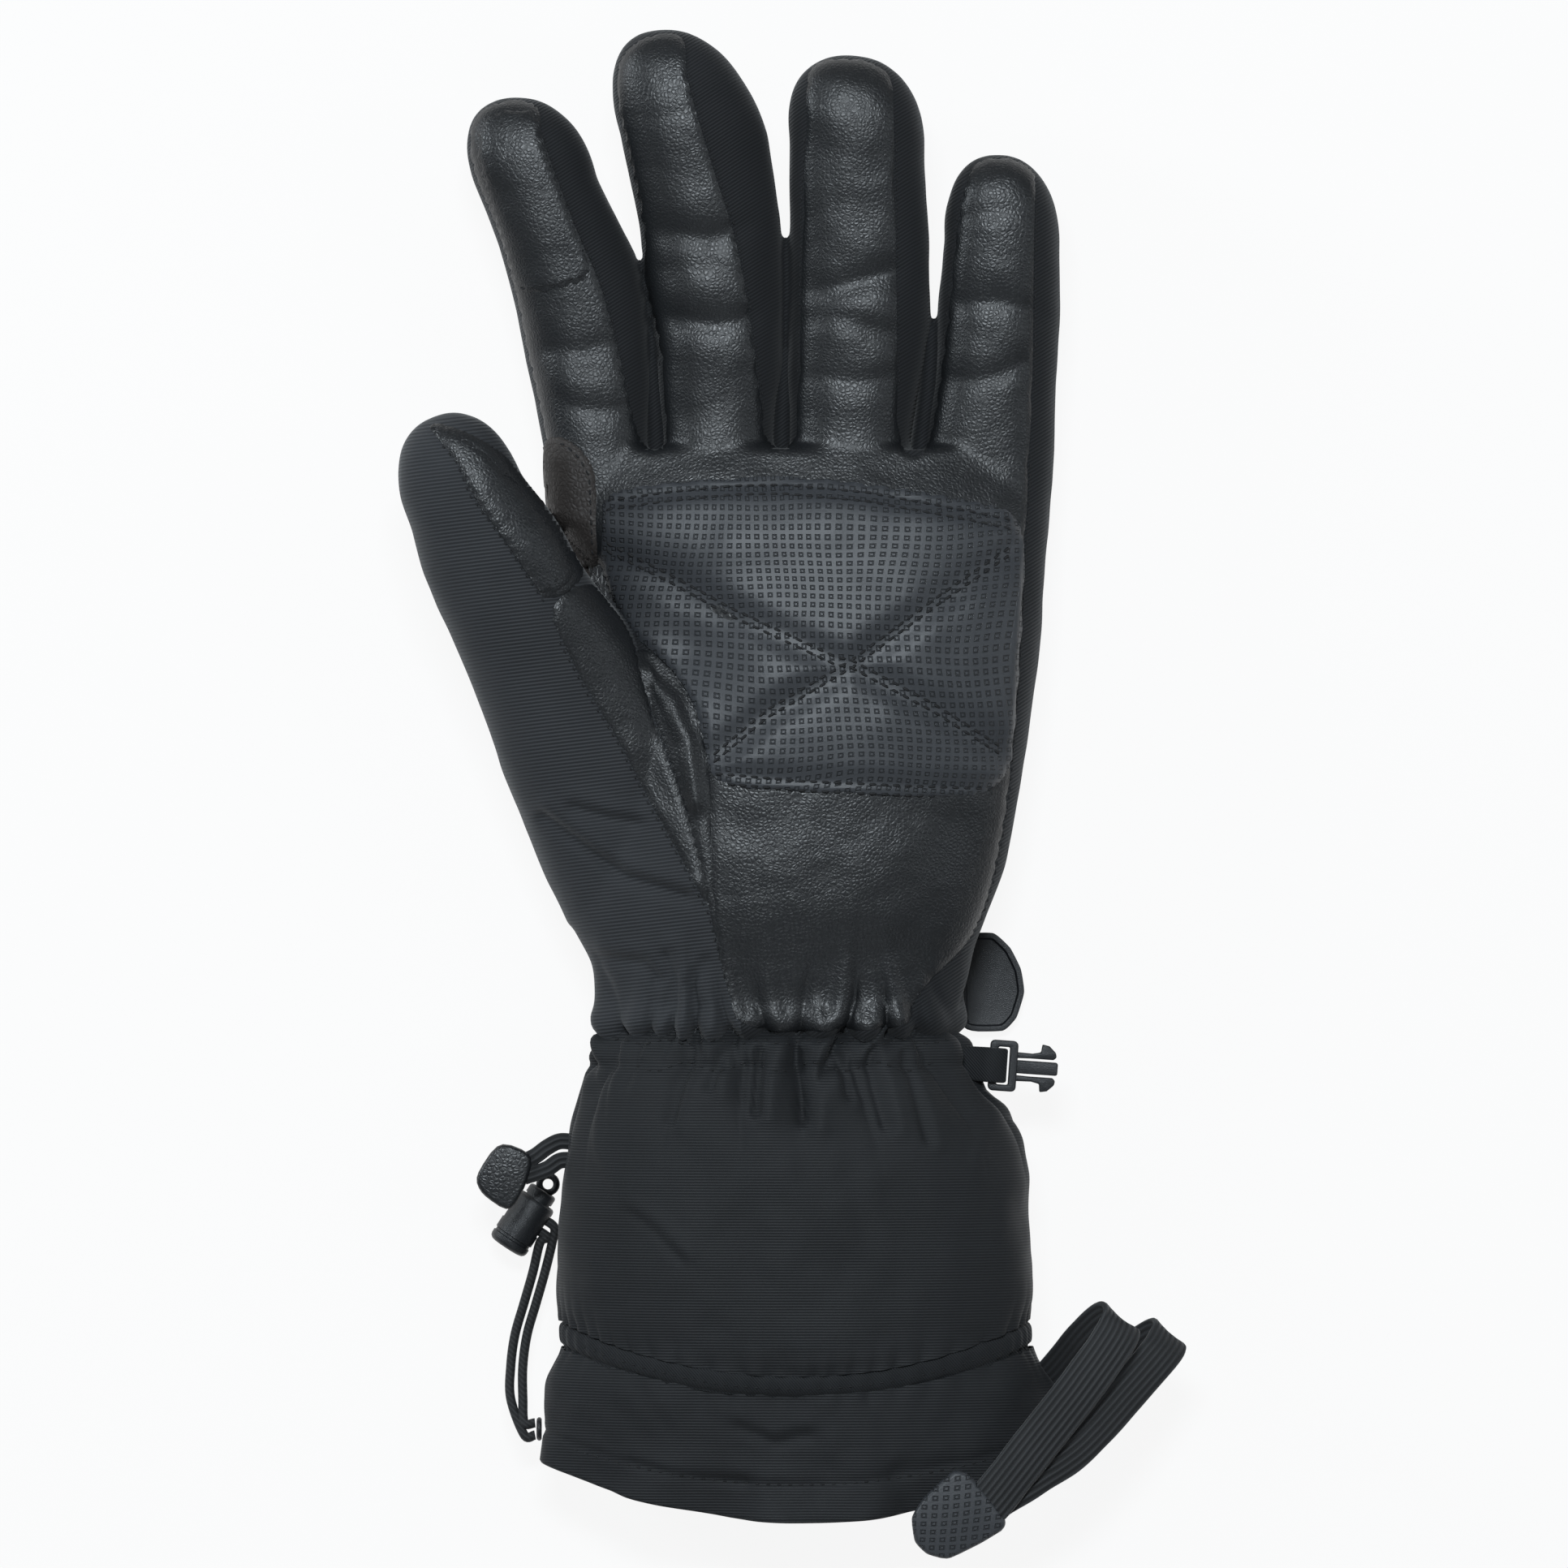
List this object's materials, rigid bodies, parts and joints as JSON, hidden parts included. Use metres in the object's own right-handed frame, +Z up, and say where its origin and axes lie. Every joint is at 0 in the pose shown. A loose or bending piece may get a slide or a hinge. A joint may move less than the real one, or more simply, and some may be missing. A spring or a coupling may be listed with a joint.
{
  "type": "ski glove",
  "caption": "Left insulated ski glove with leather palm, curling fingers, gathered wrist with strap, buckle and a long drawcord gauntlet with a leash.",
  "frame": {"origin": "middle of the bounding box's underside, on the surface that the glove's back lies on", "axes": "+Y to the fingertips, +X across the palm to the little finger's side, +Z up out of the palm"},
  "size_m": [0.172, 0.3365, 0.0524],
  "materials": {
    "leather": "grained goat leather, satin with glossy highlights",
    "brown_leather": "smooth dark brown-black leather",
    "ribbed_nylon": "nylon with a fine horizontal rib",
    "softshell": "matt twill softshell",
    "lining": "brushed fleece over insulation",
    "elastic": "ribbed elastic and braided cord",
    "plastic": "moulded, fine satin",
    "steel": "spring wire"
  },
  "bodies": {
    "glove": {"back_panel": "softshell", "buckle_webbing": "softshell", "cord_lock_barrel": "plastic", "cord_lock_spring": "steel", "drawcord": "elastic", "fourchette_index_middle": "softshell", "fourchette_middle_ring": "softshell", "fourchette_ring_little": "softshell", "gauntlet_back": "ribbed_nylon", "gauntlet_front": "ribbed_nylon", "gauntlet_lining": "lining", "hand_lining": "lining", "hem_band": "softshell", "hem_eyelet": "plastic", "index_knuckle": "softshell", "little_knuckle": "softshell", "loop_pad": "lining", "middle_knuckle": "softshell", "palm_grip_patch": "leather", "palm_leather": "leather", "ring_anchor": "softshell", "ring_knuckle": "softshell", "skirt": "ribbed_nylon", "strap_ring": "plastic", "thumb_base": "softshell", "thumb_crotch_patch": "brown_leather", "thumb_gusset": "leather", "thumb_knuckle": "softshell", "wrist_gather": "softshell", "wrist_lining": "lining", "wrist_strap": "softshell"},
    "index_finger": {"index_back": "softshell", "index_front": "leather", "index_lining": "lining", "index_touch_tip": "brown_leather"},
    "middle_finger": {"middle_back": "softshell", "middle_front": "leather", "middle_lining": "lining"},
    "ring_finger": {"ring_back": "softshell", "ring_front": "leather", "ring_lining": "lining"},
    "little_finger": {"little_back": "softshell", "little_front": "leather", "little_lining": "lining"},
    "thumb": {"thumb_back": "softshell", "thumb_front": "leather", "thumb_lining": "lining", "thumb_touch_tip": "brown_leather"},
    "strap_end": {"strap_flap": "softshell", "hook_pad": "elastic", "strap_tab": "plastic"},
    "buckle_body": {"buckle": "plastic"},
    "plunger": {"cord_lock_plunger": "plastic"},
    "leash": {"leash_upper_strap": "elastic", "leash_lower_strap": "elastic", "leash_tab": "leather"},
    "pull_loop": {"pull_strip_upper": "elastic", "pull_strip_lower": "elastic", "pull_tab": "leather"}
  },
  "joints": [
    {"name": "index_curl", "type": "hinge", "parent": "glove", "child": "index_finger", "pos_m": [-0.0478, 0.105, 0.01865], "axis": [1, 0, 0], "range_deg": [0, 60], "stiffness_Nm_per_rad": 0.03, "deforming": ["index_knuckle"]},
    {"name": "middle_curl", "type": "hinge", "parent": "glove", "child": "middle_finger", "pos_m": [-0.0177, 0.1093, 0.0195], "axis": [1, 0, 0], "range_deg": [0, 60], "stiffness_Nm_per_rad": 0.03, "deforming": ["middle_knuckle"]},
    {"name": "ring_curl", "type": "hinge", "parent": "glove", "child": "ring_finger", "pos_m": [0.01365, 0.1093, 0.0195], "axis": [1, 0, 0], "range_deg": [0, 60], "stiffness_Nm_per_rad": 0.03, "deforming": ["ring_knuckle"]},
    {"name": "little_curl", "type": "hinge", "parent": "glove", "child": "little_finger", "pos_m": [0.0444, 0.101, 0.0182], "axis": [1, 0, 0], "range_deg": [0, 60], "stiffness_Nm_per_rad": 0.03, "deforming": ["little_knuckle"]},
    {"name": "thumb_curl", "type": "hinge", "parent": "glove", "child": "thumb", "pos_m": [-0.063, 0.045, 0.0346], "axis": [0.8879, 0.46, 0], "range_deg": [0, 50], "stiffness_Nm_per_rad": 0.03, "deforming": ["thumb_knuckle"]},
    {"name": "strap_peel", "type": "hinge", "parent": "glove", "child": "strap_end", "pos_m": [-0.0296, -0.042, 0.00035], "axis": [0, 1, 0], "range_deg": [0, 100]},
    {"name": "buckle_swing", "type": "hinge", "parent": "glove", "child": "buckle_body", "pos_m": [0.0434, -0.0602, 0.024], "axis": [0.0698, 0.9976, 0], "range_deg": [-30, 30]},
    {"name": "cord_lock_press", "type": "slide", "parent": "glove", "child": "plunger", "axis": [-0.5501, -0.8351, 0], "range_m": [0, 0.002], "stiffness_N_per_m": 400, "springref_m": -0.001, "deforming": ["cord_lock_spring"]},
    {"name": "leash_swing", "type": "hinge", "parent": "glove", "child": "leash", "pos_m": [0.059, -0.132, 0.0145], "axis": [0, 1, 0], "range_deg": [0, 40]},
    {"name": "pull_loop_swing", "type": "hinge", "parent": "glove", "child": "pull_loop", "pos_m": [-0.0526, -0.0794, 0.0206], "axis": [0, 1, 0], "range_deg": [0, 60]}
  ]
}
